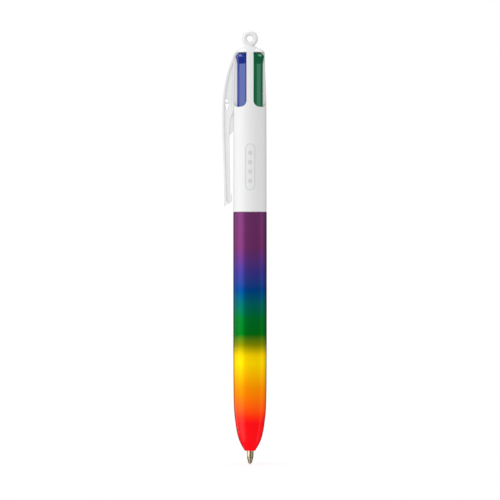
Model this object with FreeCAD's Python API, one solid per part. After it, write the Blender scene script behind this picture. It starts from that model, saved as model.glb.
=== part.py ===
import FreeCAD, Part
import os
import math

# Four-colour click pen, in millimetres.  +Z runs from the writing tip up to the
# ring; the origin is the lowest point of the ball of the refill that is out.
# The pocket clip is on the -X side and the hole of the top ring runs along Y.
# Sliders sit in the four quadrants: black (+X,+Y), red (-X,+Y), blue (-X,-Y) and
# green (+X,-Y).  Black is pressed down, the other three are up.
# Profiles and outlines are tables of (radius or x, height) points.

os.makedirs("parts", exist_ok=True)
Vector = FreeCAD.Vector

# Lower barrel
Z_NOSE = 4.50           # height of the nose end
Z_JOINT = 86.57         # plane where the two barrels meet
JOINT_GAP = 0.02        # each barrel stops this far from that plane
R_LOWER = 5.75          # straight part
R_TIP_HOLE = 1.36       # hole that the writing point comes out of
R_LOWER_BORE = 4.72     # bore below the thread
SOCKET_DEPTH = 8.60     # threaded socket at the top
R_SOCKET = 5.00         # root of the socket's thread
R_SOCKET_CREST = 4.86
LOWER_OUTSIDE = [
    (1.66, Z_NOSE), (1.86, Z_NOSE + 0.14),
    (2.02, 4.90), (2.68, 5.95), (3.23, 7.00), (3.67, 8.00), (4.31, 10.10),
    (4.72, 12.10), (5.02, 14.20), (5.28, 16.30), (5.46, 18.30), (5.56, 20.40),
    (5.62, 22.45), (5.66, 25.50), (5.69, 28.60), (5.71, 32.10), (5.73, 35.50),
    (5.74, 38.95), (5.75, 42.40)]
LOWER_INSIDE = [
    (R_LOWER_BORE, 26.0), (4.66, 20.6), (4.40, 16.4), (4.14, 14.2), (3.84, 12.1),
    (3.44, 10.1), (2.90, 8.3), (2.10, 6.9), (R_TIP_HOLE, 6.3)]

# Upper barrel
R_UPPER = 5.69          # outer radius just above the joint
R_UPPER_BORE = 4.60
R_SPIGOT_BORE = 4.15
R_SPIGOT = 4.55         # root of the spigot's thread
R_SPIGOT_CREST = 4.80
SPIGOT_LENGTH = 7.80
SPIGOT_CHAMFER = 0.25
EDGE_BREAK = 0.10       # chamfer on the upper barrel's outer edge at the joint
THREAD_PITCH = 1.50
UPPER_TAPER = [
    (5.65, 121.60), (5.60, 124.50), (5.46, 129.00), (5.28, 134.00),
    (5.15, 138.00), (5.05, 141.00)]
UPPER_SHOULDER = [(5.05, 141.00), (5.01, 141.36), (4.86, 141.72), (4.60, 141.93)]
Z_DOME_TOP = 144.50
DOME = [
    (4.60, 141.93), (3.20, 142.70), (2.05, 143.28), (1.66, 143.62),
    (1.48, 144.10), (1.36, Z_DOME_TOP)]

# Top ring
Z_RING = 146.15
R_RING = 2.71
R_RING_HOLE = 1.13
RING_WIDTH = 3.44
RING_HALF = 0.84        # half the radial thickness before the land cuts it
RING_FULLNESS = 2.4     # superellipse exponent of its section

# Slider windows, and the ribs behind the bars between them
BAR_HALF = 1.17         # half width of a bar
Z_WINDOW_TOP = 141.34   # also the top of the bore
Z_WINDOW_LOW = 122.57
R_WINDOW_END = 3.05     # radius of a window's rounded lower end
WINDOW_FULLNESS = 3.1   # superellipse exponent of that end
WINDOW_REACH = 7.0      # window cutters reach beyond the barrel
R_RIB = 2.25            # inner reach of the ribs
R_RIB_OUTER = 4.75
Z_RIB = 117.0
Z_RIB_TOP = 141.6

# Raised mark on the -Y side: a slim upright frame holding four round pips
MARK_RAISED = 0.06
MARK_SUNK = 0.15        # how far the mark runs into the wall
MARK_HALF = 1.75        # half width of the frame
MARK_LINE = 0.27        # width of its line
Z_MARK, Z_MARK_TOP = 94.0, 110.0
R_PIP = 0.75
Z_PIP, PIP_PITCH = 97.2, 3.2
MARK_Y = (-7.0, -3.0)   # the mark's cutters span the wall between these

# Guide disc for the refills
Z_GUIDE = 95.50
GUIDE_THICK = 2.50
GUIDE_GAP = 0.02        # below the disc, down to the step in the bore
R_GUIDE = 4.50
R_GUIDE_HOLE = 1.58

# Sliders.  "Out" is measured from the pen axis along the quadrant's diagonal.
TRAVEL = 10.0           # how far a pressed slider moves down
Z_PIVOT_UP = 110.5      # pin bead centre of a slider that is up
SLIDER_GAP = 1.20       # side planes, from the middle of the bars
OUT_CORNER = 3.96       # outer edges
OUT_FACE = 4.27         # flat outer face
FACE_HALF = 0.93        # half width of that face
OUT_BEVEL, BEVEL_HALF = 4.137, 1.88     # edge between shallow and steep bevel
OUT_LIP_CORNER, OUT_LIP_FACE = 3.62, 3.90
R_HEAD = 5.02           # the finger ridge follows this radius
R_CROWN = 4.76          # and the crown above it this one
Z_PIN_END = 107.0
Z_DISC = 114.0          # underside of the spring disc
Z_BODY = 116.0
Z_HEAD = 137.40
Z_RIDGE = 139.86
Z_RIDGE_TOP = 140.04
Z_CROWN = 140.60
Z_LIP = 140.92
Z_LIP_TOP = 141.20
HEAD_LAP, CROWN_LAP = 0.02, 0.01        # overlaps of neighbouring blocks
R_PIN = 0.70
R_BEAD = 0.82
R_DISC = 1.78

# Springs
R_WIRE = 0.14
R_SPRING = 1.64         # wire centre line
COILS = 8
SPRING_GAP = 0.02       # at both ends and between closed turns
POINTS_PER_TURN = 16

# Refills, measured from the ball's lowest point
PITCH_R = 2.65          # distance of their upper ends from the pen axis
R_TUBE, R_TUBE_BORE = 1.325, 0.85
R_POINT = 1.155
R_BALL = 0.50
R_INK_CHANNEL = 0.28
INK_GAP = 0.03          # between the ink and the wall round it
TUBE_FOOT, TUBE_TOP = 12.05, 103.84
INK_STEP, INK_TOP = 16.05, 85.0

REFILL_XY = PITCH_R / math.sqrt(2.0)
Z_PIVOT_DOWN = Z_PIVOT_UP - TRAVEL
REFILL_REACH = math.hypot(PITCH_R, Z_PIVOT_DOWN)    # ball to bead centre
TILT = math.degrees(math.atan2(PITCH_R, Z_PIVOT_DOWN))

# Colour: turn about Z from the (+X,+Y) quadrant, slider pressed down
COLOURS = {
    "black": (0, True),
    "blue": (180, False),
    "red": (90, False),
    "green": (270, False)}


# Helpers
def cylinder(radius, z0, z1, x=0.0, y=0.0):
    return Part.makeCylinder(radius, z1 - z0, Vector(x, y, z0))


def cross_cylinder(radius, x, z, y0, y1):
    return Part.makeCylinder(radius, y1 - y0, Vector(x, y0, z), Vector(0, 1, 0))


def box(x0, x1, y0, y1, z0, z1):
    return Part.makeBox(x1 - x0, y1 - y0, z1 - z0, Vector(x0, y0, z0))


def outline(items):
    """Face in the XZ plane from (x, z) points joined by straight lines; an item
    that is itself a list of points becomes a smooth curve through them."""
    edges = []
    first = last = None
    for item in items:
        pairs = item if isinstance(item, list) else [item]
        points = [Vector(x, 0, z) for x, z in pairs]
        if first is None:
            first = points[0]
        elif (last - points[0]).Length > 1e-7:
            edges.append(Part.makeLine(last, points[0]))
        if len(points) > 1:
            curve = Part.BSplineCurve()
            curve.interpolate(points)
            edges.append(curve.toShape())
        last = points[-1]
    if (last - first).Length > 1e-7:
        edges.append(Part.makeLine(last, first))
    return Part.Face(Part.Wire(edges))


def lathe(items):
    """Solid of revolution about Z."""
    return outline(items).revolve(Vector(0, 0, 0), Vector(0, 0, 1), 360)


def plate(items, width):
    """Outline thickened along Y, centred on the XZ plane."""
    solid = outline(items).extrude(Vector(0, width, 0))
    solid.translate(Vector(0, -width / 2, 0))
    return solid


def turned(shape, angle):
    """Copy of a shape turned about the pen axis."""
    out = shape.copy()
    out.rotate(Vector(0, 0, 0), Vector(0, 0, 1), angle)
    return out


def superellipse(angle, half_width, half_height, fullness):
    def signed_power(value):
        return math.copysign(abs(value) ** (2.0 / fullness), value)

    return (half_width * signed_power(math.cos(angle)),
            half_height * signed_power(math.sin(angle)))


def save(shape, node):
    if len(shape.Solids) == 1:
        shape = shape.Solids[0]
    if not shape.isValid():
        shape.fix(1e-5, 1e-5, 1e-3)
    shape.exportStep("parts/%s.step" % node)


def add_thread(body, r_root, r_crest, z0, z1):
    """Fuse on thread crests, drawn as rings so that the two threads can be
    drawn straight apart."""
    r_buried = r_root + math.copysign(0.1, r_root - r_crest)
    half_root, half_crest = THREAD_PITCH * 0.30, 0.12
    z = z0
    while z <= z1:
        body = body.fuse(lathe([
            (r_buried, z - half_root), (r_root, z - half_root),
            (r_crest, z - half_crest), (r_crest, z + half_crest),
            (r_root, z + half_root), (r_buried, z + half_root)]))
        z += THREAD_PITCH
    return body


# Barrels
def lower_barrel():
    top = Z_JOINT - JOINT_GAP
    body = lathe([
        (R_TIP_HOLE, Z_NOSE + 0.10), (R_TIP_HOLE + 0.10, Z_NOSE),
        LOWER_OUTSIDE,
        (R_LOWER, top - 0.12), (R_LOWER - 0.12, top),
        (R_SOCKET + 0.08, top), (R_SOCKET, top - 0.08),
        (R_SOCKET, top - SOCKET_DEPTH), (R_LOWER_BORE, top - SOCKET_DEPTH - 0.28),
        LOWER_INSIDE])
    body = add_thread(body, R_SOCKET, R_SOCKET_CREST, top - 7.6, top - 1.0)
    return body.removeSplitter()


def top_ring():
    """Ring with a full, rounded section and a short straight land in its hole."""
    middle = R_RING - RING_HALF
    land = math.acos(((middle - R_RING_HOLE) / RING_HALF) ** (RING_FULLNESS / 2))
    section = []
    for k in range(21):
        angle = (math.pi - land) * (k / 10.0 - 1.0)
        across, along = superellipse(angle, RING_HALF, RING_WIDTH / 2, RING_FULLNESS)
        section.append((middle + across, along))
    # both ends of the curve lie exactly on the hole
    land_end = section[0][1]
    section[0] = (R_RING_HOLE, land_end)
    section[-1] = (R_RING_HOLE, -land_end)
    ring = lathe([section])
    ring.rotate(Vector(0, 0, 0), Vector(1, 0, 0), 90)
    ring.translate(Vector(0, 0, Z_RING))
    return ring


def bar_rib():
    """Rib behind the +X bar, notched at its lower inner corner."""
    rib = box(R_RIB, R_RIB_OUTER, -BAR_HALF, BAR_HALF, Z_RIB, Z_RIB_TOP)
    return rib.cut(box(R_RIB - 1, R_RIB + 0.6, -BAR_HALF - 1, BAR_HALF + 1,
                       Z_RIB - 0.1, Z_RIB + 0.1))


def window_cutter():
    """The whole (+X,+Y) quadrant outside the bars, with a rounded lower end."""
    z_end = Z_WINDOW_LOW + R_WINDOW_END
    body = box(BAR_HALF, WINDOW_REACH, BAR_HALF, WINDOW_REACH, z_end, Z_WINDOW_TOP)
    low = box(BAR_HALF, WINDOW_REACH, BAR_HALF, WINDOW_REACH,
              Z_WINDOW_LOW - 1, z_end + 0.01)
    curve = []
    for i in range(25):
        across, down = superellipse(math.pi * i / 24.0, R_WINDOW_END, R_WINDOW_END,
                                    WINDOW_FULLNESS)
        curve.append((across, z_end - down))
    plug = outline([curve, (-R_WINDOW_END, z_end + 1), (R_WINDOW_END, z_end + 1)])
    # drawn towards -Y, then turned to point out along the diagonal
    plug = turned(plug.extrude(Vector(0, -9, 0)), 135)
    return body.fuse(low.common(plug))


def stadium(half_width, z0, z1):
    """Upright round-ended block through the -Y wall."""
    out = box(-half_width, half_width, *MARK_Y, z0 + half_width, z1 - half_width)
    for z in (z0 + half_width, z1 - half_width):
        out = out.fuse(cross_cylinder(half_width, 0, z, *MARK_Y))
    return out


def raised_mark():
    shell = cylinder(R_UPPER + MARK_RAISED, 92.0, 112.0)
    shell = shell.cut(cylinder(R_UPPER - MARK_SUNK, 91.0, 113.0))
    mark = stadium(MARK_HALF, Z_MARK, Z_MARK_TOP).cut(
        stadium(MARK_HALF - MARK_LINE, Z_MARK + MARK_LINE, Z_MARK_TOP - MARK_LINE))
    for k in range(4):
        mark = mark.fuse(cross_cylinder(R_PIP, 0, Z_PIP + PIP_PITCH * k, *MARK_Y))
    return shell.common(mark)


def upper_barrel():
    z_shoulder = Z_JOINT + JOINT_GAP
    z_spigot = Z_JOINT - SPIGOT_LENGTH
    z_step = Z_GUIDE - GUIDE_GAP
    body = lathe([
        (R_SPIGOT_BORE, z_spigot), (R_SPIGOT - SPIGOT_CHAMFER, z_spigot),
        (R_SPIGOT, z_spigot + SPIGOT_CHAMFER), (R_SPIGOT, z_shoulder),
        (R_UPPER - EDGE_BREAK, z_shoulder), (R_UPPER, z_shoulder + EDGE_BREAK),
        UPPER_TAPER, UPPER_SHOULDER, DOME,
        (0.0, Z_DOME_TOP), (0.0, Z_WINDOW_TOP),
        (R_UPPER_BORE, Z_WINDOW_TOP), (R_UPPER_BORE, z_step),
        (R_SPIGOT_BORE, z_step)])
    body = add_thread(body, R_SPIGOT, R_SPIGOT_CREST, z_spigot + 1.1, Z_JOINT - 0.9)
    body = body.fuse(top_ring()).cut(cross_cylinder(R_RING_HOLE, 0, Z_RING, -4, 4))
    window = window_cutter()
    for k in range(4):
        body = body.cut(turned(window, 90 * k))
    rib = bar_rib()
    for k in range(4):
        body = body.fuse(turned(rib, 90 * k))
    return body.fuse(raised_mark()).removeSplitter()


# Pocket clip: side outlines in the XZ plane, (x, z), and widths across Y
FLANGE_THICK = 0.72
FLANGE_HALF_TOP, FLANGE_HALF_END = 1.17, 1.64   # half widths at z 142 and z 88
FLANGE_FILLET = 0.14
STEM_WIDTH, FOOT_WIDTH, TONGUE_WIDTH = 1.90, 2.24, 1.0
R_CLIP_HOLE = 0.60
SEAT_GAP = 0.04         # room between the clip and the barrel
FLANGE_OUTER = [
    (-5.30, 141.15), (-5.80, 140.0), (-6.28, 138.7), (-6.60, 137.8),
    (-7.45, 135.5), (-8.12, 133.1), (-8.66, 130.6), (-9.08, 128.0),
    (-9.36, 125.6), (-9.51, 123.1), (-9.57, 120.4), (-9.52, 115.8),
    (-9.35, 109.4), (-9.12, 103.0), (-8.95, 96.6), (-8.80, 91.6)]
FLANGE_END = [(-8.90, 88.62), (-8.14, 89.16)]
STEM = [
    # edge inside the flange
    [(-5.60, 139.6), (-6.20, 137.9), (-7.00, 135.4), (-7.72, 133.0),
     (-8.25, 130.5), (-8.70, 128.0), (-9.03, 125.6), (-9.18, 123.1),
     (-9.18, 120.6), (-8.95, 115.8), (-8.80, 109.4), (-8.62, 103.0),
     (-8.40, 96.6), (-8.28, 91.0)],
    (-7.60, 89.30),
    # bump at the free end
    [(-6.45, 90.15), (-6.20, 90.85), (-6.19, 91.60), (-6.38, 92.50),
     (-6.78, 93.30)],
    # side facing the barrel
    [(-6.78, 93.30), (-6.84, 96.60), (-6.96, 103.0), (-7.04, 109.0),
     (-7.04, 112.9), (-6.74, 118.2), (-6.20, 119.9), (-5.74, 120.45)],
    (-4.60, 120.45), (-4.60, 139.6)]
FOOT = [
    (-4.60, 120.45), (-4.60, 140.95),
    [(-5.30, 140.95), (-5.55, 139.0), (-5.90, 137.2), (-6.02, 134.0),
     (-6.14, 129.0), (-6.26, 124.5), (-6.10, 121.6), (-5.74, 120.45)]]
TONGUE = [
    (-4.60, 121.0),
    [(-6.60, 121.0), (-7.10, 118.2), (-7.30, 115.5), (-7.35, 113.0)],
    (-7.05, 113.15), (-4.60, 115.2)]
WEB_TRIANGLE = [(-8.58, 123.88), (-7.05, 123.88), (-7.98, 121.1)]
SEAT_SHOULDER = [       # before SEAT_GAP is added to the radii
    (5.05, 141.00), (5.01, 141.36), (4.86, 141.76), (4.60, 141.99)]


def offset_inward(points, distance):
    """Points moved towards +X, square to the curve."""
    out = []
    for i, (x, z) in enumerate(points):
        x0, z0 = points[max(i - 1, 0)]
        x1, z1 = points[min(i + 1, len(points) - 1)]
        dx, dz = x1 - x0, z1 - z0
        length = math.hypot(dx, dz)
        out.append((x - dz / length * distance, z + dx / length * distance))
    return out


def clip_flange():
    """Outer strip of the clip, widening towards the free end."""
    inner = offset_inward(FLANGE_OUTER, FLANGE_THICK)
    flange = plate([FLANGE_OUTER] + FLANGE_END + [inner[::-1]], 4)
    taper = Part.Face(Part.makePolygon([
        Vector(-12, -FLANGE_HALF_TOP, 142), Vector(-12, FLANGE_HALF_TOP, 142),
        Vector(-12, FLANGE_HALF_END, 88), Vector(-12, -FLANGE_HALF_END, 88),
        Vector(-12, -FLANGE_HALF_TOP, 142)]))
    flange = flange.common(taper.extrude(Vector(9, 0, 0)))
    # the fillet may fail along the curved edges; the flange then stays sharp
    try:
        long_edges = [e for e in flange.Edges
                      if e.Length > 15 and abs(e.CenterOfMass.x) > 8.2]
        flange = flange.makeFillet(FLANGE_FILLET, long_edges)
    except Exception:
        pass
    return flange


def barrel_seat():
    """Outside of the upper barrel, grown by the seat's gap."""
    def grown(points):
        return [(r + SEAT_GAP, z) for r, z in points]

    return lathe([
        (0.0, 84.0), (R_UPPER + SEAT_GAP, 84.0), (R_UPPER + SEAT_GAP, Z_JOINT),
        grown(UPPER_TAPER), grown(SEAT_SHOULDER), (0.0, 143.0)])


def pocket_clip():
    clip = clip_flange().fuse(plate(STEM, STEM_WIDTH)).fuse(plate(FOOT, FOOT_WIDTH))
    # round hole, and below it a triangular opening that points down
    clip = clip.cut(cross_cylinder(R_CLIP_HOLE, -8.03, 124.9, -3, 3))
    clip = clip.cut(plate(WEB_TRIANGLE, 6))
    # thin tongue between the stem and the barrel
    clip = clip.fuse(plate(TONGUE, TONGUE_WIDTH))
    return clip.cut(barrel_seat()).removeSplitter()


# Guide disc
def refill_guide():
    guide = cylinder(R_GUIDE, Z_GUIDE, Z_GUIDE + GUIDE_THICK)
    for x in (REFILL_XY, -REFILL_XY):
        for y in (REFILL_XY, -REFILL_XY):
            guide = guide.cut(cylinder(R_GUIDE_HOLE, Z_GUIDE - 1, Z_GUIDE + 4, x, y))
            # flared mouth on the underside
            guide = guide.cut(Part.makeCone(R_GUIDE_HOLE + 0.12, R_GUIDE_HOLE - 0.13,
                                            0.25, Vector(x, y, Z_GUIDE)))
    return guide


# Sliders, springs and refills are all built in the (+X,+Y) quadrant
def diagonal_point(out, across, z):
    """Point given along the quadrant's diagonal and square to it."""
    return Vector((out - across) / math.sqrt(2.0), (out + across) / math.sqrt(2.0), z)


def closed_section(outer_edges, start, end):
    """Close a slider's outer side with its side planes and a small inner bevel."""
    inner_start = Vector(SLIDER_GAP + 0.30, SLIDER_GAP, start.z)
    inner_end = Vector(SLIDER_GAP, SLIDER_GAP + 0.30, start.z)
    return Part.Wire([Part.makeLine(inner_start, start)] + outer_edges
                     + [Part.makeLine(end, inner_end),
                        Part.makeLine(inner_end, inner_start)])


def flat_section(z, out_corner=OUT_CORNER, out_face=OUT_FACE):
    """Section with a flat outer face and two bevels on each side of it."""
    corner = out_corner * math.sqrt(2.0) - SLIDER_GAP
    out_bevel = OUT_BEVEL - (OUT_FACE - out_face)
    points = [Vector(corner, SLIDER_GAP, z),
              diagonal_point(out_bevel, -BEVEL_HALF, z),
              diagonal_point(out_face, -FACE_HALF, z),
              diagonal_point(out_face, FACE_HALF, z),
              diagonal_point(out_bevel, BEVEL_HALF, z),
              Vector(SLIDER_GAP, corner, z)]
    edges = [Part.makeLine(a, b) for a, b in zip(points, points[1:])]
    return closed_section(edges, points[0], points[-1])


def round_section(z, radius):
    """Section with arcs about the pen axis, as many as a flat section's lines."""
    def on_arc(angle):
        return Vector(radius * math.cos(angle), radius * math.sin(angle), z)

    x_start = math.sqrt(radius ** 2 - SLIDER_GAP ** 2)
    half = math.pi / 4 - math.atan2(SLIDER_GAP, x_start)
    angles = [math.pi / 4 + half * k for k in (-1.0, -0.82, -0.40, 0.40, 0.82, 1.0)]
    edges = [Part.Arc(on_arc(a), on_arc((a + b) / 2), on_arc(b)).toShape()
             for a, b in zip(angles, angles[1:])]
    return closed_section(edges, on_arc(angles[0]), on_arc(angles[-1]))


def raised(section, height):
    return Part.Face(section).extrude(Vector(0, 0, height))


def ruled_loft(sections):
    return Part.makeLoft(sections, True, True)


def slider_nose():
    """Nose with a sloping underside, reaching in towards the pen axis."""
    nose = turned(box(0.25, 2.45, -0.5, 0.5, 121.0, 124.2), 45)
    slope = plate([(0.0, 119.0), (2.2, 119.0), (0.9, 121.9), (0.0, 122.6)], 4)
    nose = nose.cut(turned(slope, 45))
    # keep it inside its own quadrant
    return nose.common(box(0.07, 3, 0.07, 3, 118, 126))


def slider(drop):
    body = raised(flat_section(Z_BODY), Z_HEAD - Z_BODY)
    head = ruled_loft([flat_section(Z_HEAD - HEAD_LAP),
                       round_section(Z_RIDGE, R_HEAD)])
    z_ridge = Z_RIDGE - HEAD_LAP
    ridge = raised(round_section(z_ridge, R_HEAD), Z_RIDGE_TOP - z_ridge)
    crown = ruled_loft([round_section(Z_RIDGE_TOP - CROWN_LAP, R_HEAD - 0.02),
                        round_section(Z_CROWN, R_CROWN),
                        flat_section(Z_LIP, OUT_LIP_CORNER, OUT_LIP_FACE)])
    z_lip = Z_LIP - CROWN_LAP
    lip = raised(flat_section(z_lip, OUT_LIP_CORNER, OUT_LIP_FACE), Z_LIP_TOP - z_lip)
    out = body.fuse(head).fuse(ridge).fuse(crown).fuse(lip)

    # spring disc, and below it the pin with its tapered end and bead
    disc = cylinder(R_DISC, Z_DISC, Z_BODY, REFILL_XY, REFILL_XY)
    disc = disc.makeChamfer(0.18, [e for e in disc.Edges if e.Closed])
    pin_taper = 0.25
    pin = cylinder(R_PIN, Z_PIN_END + pin_taper, Z_DISC + 0.1, REFILL_XY, REFILL_XY)
    tip = Part.makeCone(0.45, R_PIN, pin_taper, Vector(REFILL_XY, REFILL_XY, Z_PIN_END))
    bead = Part.makeSphere(R_BEAD, Vector(REFILL_XY, REFILL_XY, Z_PIVOT_UP))
    out = out.fuse(disc).fuse(pin).fuse(tip).fuse(bead)

    out = out.fuse(slider_nose()).removeSplitter()
    out.translate(Vector(0, 0, -drop))
    return out


def spring(z0, z1):
    """Compression spring: one wire swept along a coil whose first and last
    turns lie almost flat."""
    z_start = z0 + R_WIRE + SPRING_GAP
    height = z1 - z0 - 2 * (R_WIRE + SPRING_GAP)
    flat_rise = 2 * R_WIRE + SPRING_GAP
    open_pitch = (height - 2 * flat_rise) / (COILS - 2)

    def rise(turns):
        if turns <= 1.0:
            return flat_rise * turns
        if turns >= COILS - 1.0:
            return height - flat_rise * (COILS - turns)
        return flat_rise + open_pitch * (turns - 1.0)

    points = []
    for i in range(POINTS_PER_TURN * COILS + 1):
        turns = i / POINTS_PER_TURN
        angle = 2 * math.pi * turns
        # averaging over half a turn softens the changes of pitch
        z = (rise(max(turns - 0.25, 0)) + 2 * rise(turns)
             + rise(min(turns + 0.25, COILS))) / 4
        points.append(Vector(REFILL_XY + R_SPRING * math.cos(angle),
                             REFILL_XY + R_SPRING * math.sin(angle), z_start + z))
    curve = Part.BSplineCurve()
    curve.interpolate(points)
    path = Part.Wire([curve.toShape()])
    start_direction = curve.tangent(curve.FirstParameter)[0]
    circle = Part.makeCircle(R_WIRE, points[0], start_direction)
    body = path.makePipeShell([Part.Wire([circle])], True, True)
    # the sweep may come back as a bare shell
    if not body.Solids:
        body = Part.Solid(body)
    return body


def refill_parts():
    """Tube, point, ink and ball, standing on the origin along +Z."""
    tube = cylinder(R_TUBE, TUBE_FOOT, TUBE_TOP).cut(
        cylinder(R_TUBE_BORE, 12, TUBE_TOP + 1))
    # rolled lip round the ball, cone, shank inside the tube, and an ink channel
    # along the middle
    point = lathe([
        (R_INK_CHANNEL, 1.10), (0.53, 1.04), (0.53, R_BALL), (0.465, 0.26),
        (0.57, 0.24), (0.64, 0.34), (R_POINT - 0.03, 2.36), (R_POINT, 2.46),
        (R_POINT, 11.8), (R_POINT - 0.08, 12.0), (0.83, 12.0), (0.83, 15.8),
        (0.70, 16.0), (R_INK_CHANNEL, 16.0)])
    ink = cylinder(R_INK_CHANNEL - INK_GAP, 1.12, INK_STEP).fuse(
        cylinder(R_TUBE_BORE - INK_GAP, INK_STEP, INK_TOP))
    ball = Part.makeSphere(R_BALL, Vector(0, 0, R_BALL))
    return {"refill_tube": tube, "refill_point": point, "ink": ink, "ball": ball}


def under_slider(shape, down):
    """Put a refill part, drawn on the origin, under its slider."""
    out = shape.copy()
    if down:
        # lean so that the ball stays on the origin and the top reaches the pin
        out.rotate(Vector(0, 0, 0), Vector(-1, 1, 0), TILT)
    else:
        out.translate(Vector(REFILL_XY, REFILL_XY, Z_PIVOT_UP - REFILL_REACH))
    return out


save(lower_barrel(), "lower_barrel")
save(upper_barrel(), "upper_barrel")
save(pocket_clip(), "pocket_clip")
save(refill_guide(), "refill_guide")
for colour, (turn, down) in COLOURS.items():
    drop = TRAVEL if down else 0.0
    save(turned(slider(drop), turn), "slider_" + colour)
    coil = spring(Z_GUIDE + GUIDE_THICK, Z_DISC - drop)
    save(turned(coil, turn), "spring_" + colour)
    for kind, shape in refill_parts().items():
        save(turned(under_slider(shape, down), turn), "%s_%s" % (kind, colour))
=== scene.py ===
"""A four-colour pen with sliders, standing nose down on a pale floor.

Metres throughout. The pen's axis is the Z axis, with the nose at the bottom. The camera
looks along +Y, so -Y is the front, and the clip is on the left, towards -X.
"""

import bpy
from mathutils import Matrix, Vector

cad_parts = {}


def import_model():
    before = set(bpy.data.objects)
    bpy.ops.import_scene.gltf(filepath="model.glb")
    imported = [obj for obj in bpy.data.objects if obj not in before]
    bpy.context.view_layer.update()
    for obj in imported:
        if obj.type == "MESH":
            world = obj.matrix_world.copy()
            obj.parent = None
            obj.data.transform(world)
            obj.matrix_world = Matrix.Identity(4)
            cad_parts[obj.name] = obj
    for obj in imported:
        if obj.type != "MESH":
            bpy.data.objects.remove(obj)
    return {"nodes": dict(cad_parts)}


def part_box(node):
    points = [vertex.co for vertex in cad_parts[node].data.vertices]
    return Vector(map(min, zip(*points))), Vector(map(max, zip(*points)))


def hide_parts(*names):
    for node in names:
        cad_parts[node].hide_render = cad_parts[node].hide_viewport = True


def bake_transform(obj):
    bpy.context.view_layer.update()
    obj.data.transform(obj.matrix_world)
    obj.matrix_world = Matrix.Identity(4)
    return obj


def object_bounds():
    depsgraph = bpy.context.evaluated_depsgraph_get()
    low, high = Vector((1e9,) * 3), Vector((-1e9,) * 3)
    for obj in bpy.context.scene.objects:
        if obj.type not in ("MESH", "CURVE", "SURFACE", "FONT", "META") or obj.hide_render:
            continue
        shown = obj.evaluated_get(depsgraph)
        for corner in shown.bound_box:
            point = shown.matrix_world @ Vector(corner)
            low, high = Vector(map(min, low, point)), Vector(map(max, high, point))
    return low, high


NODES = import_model()["nodes"]
CAD_LO, CAD_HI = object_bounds()

import math

import bmesh
import bpy
from mathutils import Vector

SCENE = bpy.context.scene
SCENE.view_settings.view_transform = "Standard"
SCENE.view_settings.look = "None"
SCENE.view_settings.exposure = 0.0
SCENE.view_settings.gamma = 1.0

COLOURS = ("black", "blue", "red", "green")
MM = 0.001


# ------------------------------------------------------------------- helpers
def srgb(*channels):
    """Screen values, 0 to 255, as a linear colour."""
    linear = []
    for value in channels:
        value = value / 255.0
        linear.append(value / 12.92 if value <= 0.04045 else ((value + 0.055) / 1.055) ** 2.4)
    return tuple(linear) + (1.0,)


def shade(colour, factor):
    """The colour made lighter or darker, no brighter than 1."""
    return tuple(min(1.0, channel * factor) for channel in colour[:3]) + (1.0,)


def mesh_object(name, bm):
    """Turn the bmesh into an object in the scene."""
    mesh = bpy.data.meshes.new(name)
    bm.to_mesh(mesh)
    bm.free()
    obj = bpy.data.objects.new(name, mesh)
    SCENE.collection.objects.link(obj)
    return obj


class Graph:
    """Short calls for building the node tree of a material or a world."""

    def __init__(self, owner):
        owner.use_nodes = True
        self.tree = owner.node_tree
        self.tree.nodes.clear()

    def feed(self, socket, value):
        """Link an output to the socket, or store a plain value in it."""
        if isinstance(value, bpy.types.NodeSocket):
            self.tree.links.new(value, socket)
        else:
            socket.default_value = value

    def node(self, kind, inputs=None, **props):
        node = self.tree.nodes.new(kind)
        for key, value in props.items():
            setattr(node, key, value)
        for key, value in (inputs or {}).items():
            self.feed(node.inputs[key], value)
        return node

    def remap(self, value, over, to=(0.0, 1.0), **props):
        """Carry the range `over` to the range `to`, clamped at both ends."""
        inputs = {"Value": value, "From Min": over[0], "From Max": over[1],
                  "To Min": to[0], "To Max": to[1]}
        return self.node("ShaderNodeMapRange", inputs, **props).outputs["Result"]

    def math(self, operation, *values):
        node = self.node("ShaderNodeMath", dict(enumerate(values)), operation=operation)
        return node.outputs[0]

    def dot(self, first, second):
        node = self.node("ShaderNodeVectorMath", {0: first, 1: second},
                         operation="DOT_PRODUCT")
        return node.outputs["Value"]

    def mix_shader(self, factor, first, second):
        return self.node("ShaderNodeMixShader", {0: factor, 1: first, 2: second}).outputs[0]


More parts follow.
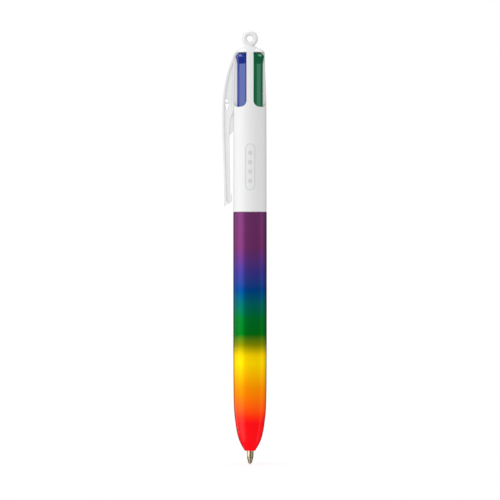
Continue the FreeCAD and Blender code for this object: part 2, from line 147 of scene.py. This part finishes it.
class Material(Graph):
    """A material with one Principled shader, textured in object coordinates."""

    def __init__(self, name):
        self.block = bpy.data.materials.new(name)
        super().__init__(self.block)
        self.shader = self.node("ShaderNodeBsdfPrincipled")
        output = self.node("ShaderNodeOutputMaterial", {"Surface": self.shader.outputs[0]})
        self.surface = output.inputs["Surface"]
        self.coord = self.node("ShaderNodeTexCoord").outputs["Object"]

    def set(self, inputs):
        """Feed the Principled shader's inputs."""
        for key, value in inputs.items():
            self.feed(self.shader.inputs[key], value)

    def xyz(self):
        return self.node("ShaderNodeSeparateXYZ", {0: self.coord}).outputs

    def axis_distance(self, x, y):
        """Distance from the Z axis."""
        squares = self.math("ADD", self.math("MULTIPLY", x, x), self.math("MULTIPLY", y, y))
        return self.math("SQRT", squares)

    def mapped(self, scale, rotation=(0, 0, 0)):
        inputs = {"Vector": self.coord, "Scale": scale, "Rotation": rotation}
        return self.node("ShaderNodeMapping", inputs).outputs[0]

    def noise(self, scale, detail=3.0, rough=0.5, stretch=None):
        """Noise in object coordinates, or in those scaled by `stretch`."""
        vector = self.coord if stretch is None else self.mapped(stretch)
        return self.noise_on(vector, scale, detail, rough)

    def noise_on(self, vector, scale, detail, rough):
        inputs = {"Scale": scale, "Detail": detail, "Roughness": rough, "Vector": vector}
        return self.node("ShaderNodeTexNoise", inputs).outputs["Fac"]

    def mix(self, factor, first, second):
        return self.node("ShaderNodeMix", {0: factor, 6: first, 7: second},
                         data_type="RGBA", blend_type="MIX").outputs[2]

    def scaled(self, colour, factor):
        return self.node("ShaderNodeVectorMath", {0: colour, "Scale": factor},
                         operation="SCALE").outputs[0]

    def bump(self, height, strength, distance, normal=None):
        inputs = {"Strength": strength, "Distance": distance, "Height": height}
        if normal is not None:
            inputs["Normal"] = normal
        return self.node("ShaderNodeBump", inputs).outputs[0]

    def bevel(self, radius, samples):
        return self.node("ShaderNodeBevel", {"Radius": radius}, samples=samples).outputs[0]

    def edge(self, radius):
        """0 on flat surface, rising towards 1 at sharp edges."""
        normal = self.node("ShaderNodeNewGeometry").outputs["Normal"]
        alignment = self.dot(self.bevel(radius, samples=4), normal)
        return self.remap(alignment, over=(0.995, 0.80))

    def facing(self):
        """0 where the surface faces the viewer, rising to 1 at its outline."""
        return self.node("ShaderNodeLayerWeight", {"Blend": 0.5}).outputs["Facing"]


# ----------------------------------------------------------------- materials
def moulded(name, rough, ior=1.49, round_edges=None):
    """The surface of moulded plastic, without its colour: satin grain, slow waves and
    hairline scuffs. Returns the material and its roughness, which isn't linked yet."""
    m = Material(name)
    satin = m.remap(m.noise(scale=900.0, rough=0.6), over=(0.3, 0.7),
                    to=(rough - 0.02, rough + 0.02))
    patch = m.remap(m.noise(scale=120.0, rough=0.6, stretch=(1, 1, 0.35)),
                    over=(0.35, 0.7), to=(-0.02, 0.03))
    scuff_vector = m.mapped(scale=(700, 700, 22), rotation=(0.05, 0.03, 0))
    scuff = m.remap(m.noise_on(scuff_vector, scale=1.0, detail=2.0, rough=0.5),
                    over=(0.70, 0.76), to=(0.0, 0.10))
    roughness = m.math("ADD", m.math("ADD", satin, patch), scuff)

    rounded = m.bevel(round_edges, samples=6) if round_edges else None
    grain = m.bump(m.noise(scale=5200.0, detail=2.0, rough=0.55),
                   strength=0.035, distance=0.00002, normal=rounded)
    wave = m.bump(m.noise(scale=160.0, detail=2.0, stretch=(1, 1, 0.3)),
                  strength=0.05, distance=0.00008, normal=grain)
    m.set({"Normal": wave, "IOR": ior, "Coat Roughness": 0.12})
    return m, roughness


def plastic(name, colour, rough=0.30, painted_edge_tone=None, edge_radius=0.00022, painted_edge_least=0.25,
            flow=0.03, level=0.5, ior=1.49, tint=None, round_edges=None, glancing=None):
    """Plain moulded plastic.

    flow: depth of the flow marks; painted_edge_least: least strength of the painted edge tone
    along the edges;
    level: specular level; glancing: ranges that change it towards the outline.
    """
    m, roughness = moulded(name, rough, ior, round_edges)
    dark = shade(colour, 1 - flow)
    light = shade(colour, 1 + flow)
    marks = m.noise(scale=55.0, detail=4.0, rough=0.55, stretch=(1, 1, 0.18))
    base = m.mix(m.remap(marks, over=(0.35, 0.65)), dark, light)
    specks = m.noise(scale=2600.0, detail=2.0, rough=0.6)
    base = m.mix(m.remap(specks, over=(0.66, 0.74), to=(0.0, 0.30)), base, dark)
    # painted edge tone: where it is lighter than the plastic it is a painted highlight along
    # the edges, where darker it is painted shade; noise makes it patchy
    if painted_edge_tone is not None:
        painted_edge_patches = m.remap(m.noise(scale=420.0), over=(0.35, 0.65), to=(painted_edge_least, 1.0))
        edge_wear_and_light = m.math("MULTIPLY", m.edge(edge_radius), painted_edge_patches)
        base = m.mix(edge_wear_and_light, base, painted_edge_tone)
        roughness = m.math("ADD", roughness, m.math("MULTIPLY", edge_wear_and_light, 0.10))
    if glancing is not None:
        level = m.math("MULTIPLY", m.remap(m.facing(), **glancing), level)
    if tint is not None:
        m.set({"Specular Tint": tint})
    m.set({"Base Color": base, "Roughness": roughness, "Specular IOR Level": level})
    return m


def metal(name, colour, dark, rough, ring_scale, bump):
    """Turned metal: fine lathe rings, patchy oxide, brighter rubbed edges."""
    m = Material(name)
    patch = m.noise(scale=700.0, detail=4.0, rough=0.6)
    base = m.mix(m.remap(patch, over=(0.35, 0.72), to=(0.0, 0.75)), colour, dark)
    edge_wear_and_light = m.math("MULTIPLY", m.edge(radius=0.00012), 0.6)
    rings = m.noise(scale=1.0, detail=2.0, rough=0.6, stretch=(60, 60, ring_scale))
    ring_rough = m.remap(rings, over=(0.3, 0.7), to=(rough - 0.07, rough + 0.09))
    oxide_rough = m.remap(patch, over=(0.4, 0.8), to=(0.0, 0.12))
    m.set({
        "Base Color": m.mix(edge_wear_and_light, base, shade(colour, 1.25)),
        "Metallic": 1.0,
        "Roughness": m.math("ADD", ring_rough, oxide_rough),
        "Normal": m.bump(rings, strength=bump, distance=0.00001),
        "Anisotropic": 0.35,
    })
    return m


WHITE = dict(colour=(0.90, 0.90, 0.905, 1), flow=0.012)
MARK_RADII = (0.005715, 0.005735)    # the print fades in between these radii
MARK_GREY = (0.72, 0.725, 0.74, 1)


def upper_material():
    """The upper barrel's white, with a grey print on the raised mark's top face."""
    # the lighter edge tone, 0.94 against the white's 0.90, is a painted highlight along the
    # edges
    m = plastic("white_moulded_marked", **WHITE, rough=0.33,
                painted_edge_tone=(0.94, 0.94, 0.94, 1), level=0.35)
    x, y, _ = m.xyz()
    raised = m.remap(m.axis_distance(x, y), over=MARK_RADII)
    tone = m.remap(m.noise(scale=1800.0, rough=0.6), over=(0.3, 0.7), to=(0.75, 1.0))
    plain = m.shader.inputs["Base Color"].links[0].from_socket
    m.set({"Base Color": m.mix(m.math("MULTIPLY", raised, tone), plain, MARK_GREY)})
    return m


def tube_material():
    """Clear, slightly milky tube with fine lines along its length."""
    m = Material("tube_clear_milky")
    milky, clear = (0.90, 0.93, 0.93, 1), (0.97, 0.98, 0.98, 1)
    haze = m.noise(scale=260.0, rough=0.6, stretch=(1, 1, 0.1))
    lines = m.noise(scale=1.0, detail=2.0, stretch=(2400, 2400, 30))
    m.set({
        "Base Color": m.mix(haze, milky, clear),
        "Roughness": m.remap(haze, over=(0.3, 0.7), to=(0.12, 0.26)),
        "IOR": 1.43,
        "Transmission Weight": 0.88,
        "Normal": m.bump(lines, strength=0.12, distance=0.00002),
    })
    return m


# Lower barrel's print, going up: height in mm, screen colour.
GRADIENT = [
    (4.0, (255, 0, 15)), (14.0, (250, 0, 10)), (16.0, (255, 40, 0)), (20.5, (255, 100, 0)),
    (26.5, (255, 150, 0)), (34.5, (255, 215, 0)), (37.0, (250, 210, 0)),
    (41.0, (145, 150, 0)), (44.5, (0, 135, 25)), (50.0, (0, 135, 50)),
    (55.0, (0, 120, 115)), (60.0, (0, 80, 165)), (66.0, (75, 65, 165)),
    (74.5, (135, 60, 125)), (86.5, (135, 65, 125)),
]
BORE_RADIUS = 0.00505                # surface nearer the axis than this is the bore
BORE_BARE_FROM = 0.030               # above this height the bore is unprinted
RUBBED_PRINT = (0.85, 0.85, 0.85, 1)
BARE_WHITE = (0.85, 0.85, 0.84, 1)
NOSE_GLOSS_HEIGHTS = (0.024, 0.015)  # going down, the nose turns glossier
NOSE_PAINTED_GLOW_HEIGHTS = (0.026, 0.016)   # going down, the nose gets more painted glow
WARM_HEIGHTS = (0.044, 0.038)        # going down, the print turns from cool to warm


def gradient_ramp(m, z):
    """The print's colour at height z, with slightly wavering bands."""
    ramp = m.node("ShaderNodeValToRGB")
    stops = ramp.color_ramp.elements
    low, high = GRADIENT[0][0], GRADIENT[-1][0]
    stops[0].color = srgb(*GRADIENT[0][1])
    stops[1].color = srgb(*GRADIENT[-1][1])
    for height, colour in GRADIENT[1:-1]:
        stops.new((height - low) / (high - low)).color = srgb(*colour)
    waver = m.remap(m.noise(scale=90.0, detail=2.0), over=(0.3, 0.7), to=(-0.00022, 0.00022))
    height = m.remap(m.math("ADD", z, waver), over=(low * MM, high * MM))
    m.feed(ramp.inputs[0], height)
    return ramp.outputs[0]


def gradient_material():
    """Lower barrel: a pearly print whose colour runs along its length."""
    m, satin = moulded("barrel_gradient", rough=0.34)
    x, y, z = m.xyz()
    mottle = m.remap(m.noise(scale=3000.0, detail=2.0, rough=0.6),
                     over=(0.3, 0.7), to=(0.97, 1.03))
    base = m.scaled(gradient_ramp(m, z), mottle)
    edge_wear_and_light = m.math("MULTIPLY", m.edge(radius=0.00018), 0.35)
    base = m.mix(edge_wear_and_light, base, RUBBED_PRINT)
    in_bore = m.math("LESS_THAN", m.axis_distance(x, y), BORE_RADIUS)
    bare = m.math("MULTIPLY", in_bore, m.math("GREATER_THAN", z, BORE_BARE_FROM))
    base = m.mix(bare, base, BARE_WHITE)

    # painted shade: the print is darkened towards the outline, where it's seen at a flat
    # angle, and its reflection is dimmed there too
    painted_outline_shade = m.remap(m.facing(), over=(0.42, 0.90), to=(1.0, 0.40),
                     interpolation_type="SMOOTHSTEP")
    base = m.scaled(base, painted_outline_shade)
    tint = m.node("ShaderNodeCombineXYZ", {0: painted_outline_shade, 1: painted_outline_shade, 2: painted_outline_shade}).outputs[0]
    nose_gloss = m.remap(z, over=NOSE_GLOSS_HEIGHTS, to=(0.0, -0.09))
    nose_level = m.remap(z, over=NOSE_GLOSS_HEIGHTS, to=(0.04, 0.45))

    # cool colours give a more metallic highlight; the warm ones, and more so the nose, get
    # painted light: an emission of their own colour that brightens them
    printed = m.math("SUBTRACT", 1.0, bare)
    warm = m.remap(z, over=WARM_HEIGHTS)
    pearl = m.remap(warm, over=(0.0, 1.0), to=(0.50, 0.32))
    painted_glow = m.math("ADD", m.remap(warm, over=(0.0, 1.0), to=(0.0, 0.26)),
                  m.remap(z, over=NOSE_PAINTED_GLOW_HEIGHTS, to=(0.0, 0.16)))
    m.set({
        "Base Color": base,
        "Specular Tint": tint,
        "Roughness": m.math("ADD", satin, nose_gloss),
        "Specular IOR Level": m.math("MULTIPLY", painted_outline_shade, nose_level),
        "Metallic": m.math("MULTIPLY", printed, pearl),
        "Emission Color": base,
        "Emission Strength": m.math("MULTIPLY", printed, painted_glow),
    })
    return m


# What the glossy sliders share, and what each one has of its own.
GLOSS = dict(rough=0.16, level=1.0, ior=1.56, round_edges=0.00022,
             glancing=dict(over=(0.38, 0.62), to=(1.0, 0.25)))
# each slider's lighter edge tone is a painted highlight along its edges
SLIDERS = {
    "black": dict(colour=(0.010, 0.010, 0.012, 1), painted_edge_tone=(0.05, 0.05, 0.055, 1)),
    "blue": dict(colour=srgb(12, 34, 146), painted_edge_tone=srgb(40, 60, 180),
                 tint=(0.80, 1.0, 1.35, 1)),
    "red": dict(colour=srgb(228, 14, 22), painted_edge_tone=srgb(240, 60, 66), ior=1.60,
                tint=(1.0, 1.05, 1.05, 1)),
    "green": dict(colour=srgb(10, 102, 62), painted_edge_tone=srgb(40, 130, 90),
                  tint=(0.42, 1.25, 0.90, 1)),
}
INKS = {
    "black": (0.006, 0.006, 0.008, 1),
    "blue": srgb(12, 20, 120),
    "red": srgb(170, 8, 22),
    "green": srgb(4, 90, 54),
}

# the clip's darker edge tone is painted shade along its edges, where the flange's sides fall
# into shadow
clip_white = plastic("white_clip", **WHITE, rough=0.30, painted_edge_tone=(0.60, 0.60, 0.62, 1),
                     edge_radius=0.00042, painted_edge_least=0.75, level=0.4)
guide_natural = plastic("guide_natural", colour=(0.78, 0.78, 0.74, 1), rough=0.42)
marked_white = upper_material()
slider_plastics = {c: plastic("slider_" + c, **{**GLOSS, **SLIDERS[c]}) for c in COLOURS}
ink_pastes = {c: plastic("ink_paste_" + c, colour=INKS[c], rough=0.12) for c in COLOURS}
brass = metal("turned_brass", colour=(0.86, 0.70, 0.44, 1), dark=(0.62, 0.46, 0.26, 1),
              rough=0.24, ring_scale=9000.0, bump=0.25)
ball_metal = metal("ball_hard_metal", colour=(0.52, 0.53, 0.55, 1),
                   dark=(0.40, 0.41, 0.43, 1), rough=0.14, ring_scale=400.0, bump=0.05)
spring_steel = metal("spring_wire", colour=(0.55, 0.55, 0.57, 1),
                     dark=(0.38, 0.38, 0.40, 1), rough=0.24, ring_scale=3000.0, bump=0.1)
tube_clear = tube_material()
barrel_print = gradient_material()


def assign(obj, material):
    obj.data.materials.clear()
    obj.data.materials.append(material.block)


assign(NODES["upper_barrel"], marked_white)
assign(NODES["pocket_clip"], clip_white)
assign(NODES["refill_guide"], guide_natural)
assign(NODES["lower_barrel"], barrel_print)
for colour in COLOURS:
    assign(NODES["slider_" + colour], slider_plastics[colour])
    assign(NODES["refill_tube_" + colour], tube_clear)
    assign(NODES["refill_point_" + colour], brass)
    assign(NODES["ball_" + colour], ball_metal)
    assign(NODES["ink_" + colour], ink_pastes[colour])
    assign(NODES["spring_" + colour], spring_steel)

# ------------------------------------------------------------------- springs
COILS = 8
COIL_RADIUS = 0.00164                    # to the middle of the wire
WIRE_RADIUS = 0.00014
CLOSED_PITCH = 2 * WIRE_RADIUS + 0.00001  # rise of each closed end turn
END_GAP = 0.00002                        # free space at each end
STEPS_PER_COIL = 28
WIRE_SIDES = 10


def coil_spring(name, centre_x, centre_y, bottom, top):
    """Compression spring: one wire with a closed turn at each end."""
    start = bottom + WIRE_RADIUS + END_GAP
    height = (top - bottom) - 2 * WIRE_RADIUS - 2 * END_GAP
    pitch = (height - 2 * CLOSED_PITCH) / (COILS - 2)

    def rise(turn):
        if turn <= 1:
            return CLOSED_PITCH * turn
        if turn >= COILS - 1:
            return height - CLOSED_PITCH * (COILS - turn)
        return CLOSED_PITCH + pitch * (turn - 1)

    bm = bmesh.new()
    loops = []
    up = Vector((0, 0, 1))
    for i in range(STEPS_PER_COIL * COILS + 1):
        turn = i / STEPS_PER_COIL
        # averaged over half a turn, to ease the change of pitch
        z = (rise(max(turn - 0.25, 0)) + 2 * rise(turn) + rise(min(turn + 0.25, COILS))) / 4
        angle = 2 * math.pi * turn
        out = Vector((math.cos(angle), math.sin(angle), 0))
        centre = Vector((centre_x, centre_y, start + z)) + out * COIL_RADIUS
        loop = []
        for k in range(WIRE_SIDES):
            around = 2 * math.pi * k / WIRE_SIDES
            offset = out * math.cos(around) + up * math.sin(around)
            loop.append(bm.verts.new(centre + offset * WIRE_RADIUS))
        loops.append(loop)
    for a, b in zip(loops, loops[1:]):
        for k in range(WIRE_SIDES):
            after = (k + 1) % WIRE_SIDES
            bm.faces.new((a[k], a[after], b[after], b[k]))
    bm.faces.new(loops[0][::-1])
    bm.faces.new(loops[-1])
    bmesh.ops.recalc_face_normals(bm, faces=bm.faces)
    spring = mesh_object(name, bm)
    for face in spring.data.polygons:
        face.use_smooth = len(face.vertices) == 4
    return spring


for colour in COLOURS:
    lo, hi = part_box("spring_" + colour)
    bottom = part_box("refill_guide")[1].z
    top = hi.z + END_GAP
    spring = coil_spring("coil_spring_" + colour, (lo.x + hi.x) / 2, (lo.y + hi.y) / 2,
                         bottom, top)
    assign(spring, spring_steel)
    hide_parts("spring_" + colour)
    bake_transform(spring)


# ---------------------------------------------------------------------- clip
def bending_clip():
    """A copy of the clip in its place, in the white clip material; the CAD node is hidden."""
    source = NODES["pocket_clip"]
    obj = bpy.data.objects.new("clip_bending", source.data.copy())
    SCENE.collection.objects.link(obj)
    obj.matrix_world = source.matrix_world.copy()
    assign(obj, clip_white)
    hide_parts("pocket_clip")
    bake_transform(obj)
    return obj


clip = bending_clip()

# --------------------------------------------------------------------- floor
FLOOR_Z = CAD_LO.z - 0.0002
FLOOR_RADII = [0.02, 0.05, 0.1, 0.2, 0.4, 0.8, 1.6]
FLOOR_SEGMENTS = 64
FLOOR_FADE = (0.03, 0.16)    # radii over which the sheet turns transparent


def paper_material():
    """Pale, faintly glowing paper that fades out away from the pen."""
    m = Material("pale_paper")
    dark, light = (0.90, 0.90, 0.90, 1), (0.94, 0.94, 0.94, 1)
    m.set({
        "Base Color": m.mix(m.noise(scale=900.0, rough=0.6), dark, light),
        "Roughness": 0.85,
        "Specular IOR Level": 0.1,
        "Emission Color": (1, 1, 1, 1),
        "Emission Strength": 0.36,
    })
    x, y, _ = m.xyz()
    fade = m.remap(m.axis_distance(x, y), over=FLOOR_FADE)
    clear = m.node("ShaderNodeBsdfTransparent").outputs[0]
    m.feed(m.surface, m.mix_shader(fade, m.shader.outputs[0], clear))
    return m


def studio_floor():
    """Flat disc just below the nose, seen only by the camera."""
    bm = bmesh.new()
    angles = [2 * math.pi * k / FLOOR_SEGMENTS for k in range(FLOOR_SEGMENTS)]
    loops = [[bm.verts.new((r * math.cos(a), r * math.sin(a), FLOOR_Z)) for a in angles]
             for r in FLOOR_RADII]
    centre = bm.verts.new((0, 0, FLOOR_Z))
    for k in range(FLOOR_SEGMENTS):
        bm.faces.new((centre, loops[0][k], loops[0][(k + 1) % FLOOR_SEGMENTS]))
    for a, b in zip(loops, loops[1:]):
        for k in range(FLOOR_SEGMENTS):
            after = (k + 1) % FLOOR_SEGMENTS
            bm.faces.new((a[k], b[k], b[after], a[after]))
    floor = mesh_object("studio_floor", bm)
    floor.data.materials.append(paper_material().block)
    floor.visible_glossy = False
    floor.visible_diffuse = False
    floor.visible_shadow = False


studio_floor()

# --------------------------------------------------------------------- world
MATT_MEAN, MATT_TILT = 0.70, 0.15      # surround for matt shading: mean, and swing about it
BRIGHT_SIDE = (-0.50, -0.87, 0.10)     # direction of its bright side, the front left
GLOSSY_STRENGTH = 0.10
CAMERA_STRENGTH = 1.0


def studio_world():
    """White for the camera, tilted light for matt shading, dim for reflections."""
    world = bpy.data.worlds.new("studio")
    SCENE.world = world
    g = Graph(world)

    def background(strength):
        return g.node("ShaderNodeBackground", {0: (1, 1, 1, 1), 1: strength}).outputs[0]

    direction = g.node("ShaderNodeTexCoord").outputs["Generated"]
    tilt = g.remap(g.dot(direction, BRIGHT_SIDE), over=(-1.0, 1.0),
                   to=(MATT_MEAN - MATT_TILT, MATT_MEAN + MATT_TILT))
    ray = g.node("ShaderNodeLightPath").outputs
    unseen = g.mix_shader(ray["Is Glossy Ray"], background(tilt), background(GLOSSY_STRENGTH))
    surround = g.mix_shader(ray["Is Camera Ray"], unseen, background(CAMERA_STRENGTH))
    g.node("ShaderNodeOutputWorld", {0: surround})


studio_world()


# -------------------------------------------------------------------- lights
def softbox(name, location, target, width, height, radiance,
            diffuse=True, glossy=True, only_on=None):
    """Rectangular light aimed at target; only_on limits it to some of the pieces."""
    data = bpy.data.lights.new(name, "AREA")
    data.shape = "RECTANGLE"
    data.size, data.size_y = width, height
    data.energy = radiance * math.pi * width * height
    light = bpy.data.objects.new(name, data)
    SCENE.collection.objects.link(light)
    light.location = location
    light.rotation_mode = "QUATERNION"
    light.rotation_quaternion = (Vector(target) - Vector(location)).to_track_quat("-Z", "Y")
    light.visible_diffuse = diffuse
    light.visible_glossy = glossy
    if only_on is not None:
        group = bpy.data.collections.new("lit_by_" + name)
        for piece in only_on:
            group.objects.link(piece)
        light.light_linking.receiver_collection = group


def panel(name, azimuth, distance, z, **settings):
    """Level softbox, seen from the pen at azimuth degrees to the right of the camera."""
    angle = math.radians(azimuth)
    location = (distance * math.sin(angle), -distance * math.cos(angle), z)
    softbox(name, location, target=(0, 0, z), **settings)


LOWER_BARREL = [NODES["lower_barrel"]]
POINTS = [NODES[part + c] for part in ("refill_point_", "ball_") for c in COLOURS]
HEADS = [NODES["slider_" + c] for c in COLOURS]
HEAD_TARGET = (0, 0, 0.14)

panel("key_left", azimuth=-71, distance=0.72, z=0.21, width=0.67, height=0.46, radiance=1.48)
panel("wrap_left", azimuth=-122, distance=0.72, z=0.13, width=0.26, height=0.62,
      radiance=1.1, diffuse=False)
panel("strip_right", azimuth=88, distance=0.70, z=0.20, width=0.26, height=0.44,
      radiance=0.68)
# below the floor line, for reflections in the nose
panel("key_left_low", azimuth=-71, distance=0.72, z=-0.275, width=0.67, height=0.50,
      radiance=1.25, diffuse=False, only_on=LOWER_BARREL)
panel("strip_right_low", azimuth=88, distance=0.70, z=-0.275, width=0.26, height=0.50,
      radiance=0.45, diffuse=False, only_on=LOWER_BARREL)
# narrow reflections in the metal points
panel("point_left", azimuth=-46, distance=0.70, z=-0.12, width=0.24, height=0.90,
      radiance=1.9, diffuse=False, only_on=POINTS)
panel("point_right", azimuth=50, distance=0.70, z=-0.12, width=0.16, height=0.90,
      radiance=1.1, diffuse=False, only_on=POINTS)
# a glint on the rounded rims of the slider heads, from either side
for name, side in (("glint_left", -1), ("glint_right", 1)):
    softbox(name, (0.66 * side, 0.12, 0.52), HEAD_TARGET, width=0.40, height=0.40,
            radiance=2.2, diffuse=False, only_on=HEADS)
# a little more from the front on the clip's web
panel("clip_front", azimuth=12, distance=0.90, z=0.13, width=0.40, height=0.40,
      radiance=1.5, glossy=False, only_on=[clip])
# keeps the dome and the ring's crown white
softbox("overhead", (-0.28, -0.16, 1.2), HEAD_TARGET, width=0.5, height=0.5,
        radiance=2.4, glossy=False, only_on=[NODES["upper_barrel"]])
# behind and above: reflections in the sloping slider heads and the dome's rim
softbox("top_back", (0.0, 0.44, 0.66), HEAD_TARGET, width=0.80, height=0.34,
        radiance=3.2, diffuse=False)

# -------------------------------------------------------------------- camera
VIEW_WIDTH = 0.1719          # width in view at the pen's axis
VIEW_HEIGHT = 0.07350444     # the camera's height
LENS, SENSOR = 300.0, 36.0   # in mm


def camera():
    """Long lens, level, looking straight at the pen from the front."""
    data = bpy.data.cameras.new("camera")
    data.lens = LENS
    data.sensor_width = SENSOR
    data.clip_start, data.clip_end = 0.01, 50.0
    obj = bpy.data.objects.new("camera", data)
    SCENE.collection.objects.link(obj)
    obj.location = (0.0, -VIEW_WIDTH * LENS / SENSOR, VIEW_HEIGHT)
    obj.rotation_mode = "QUATERNION"
    obj.rotation_quaternion = Vector((0, 1, 0)).to_track_quat("-Z", "Y")
    SCENE.camera = obj


camera()
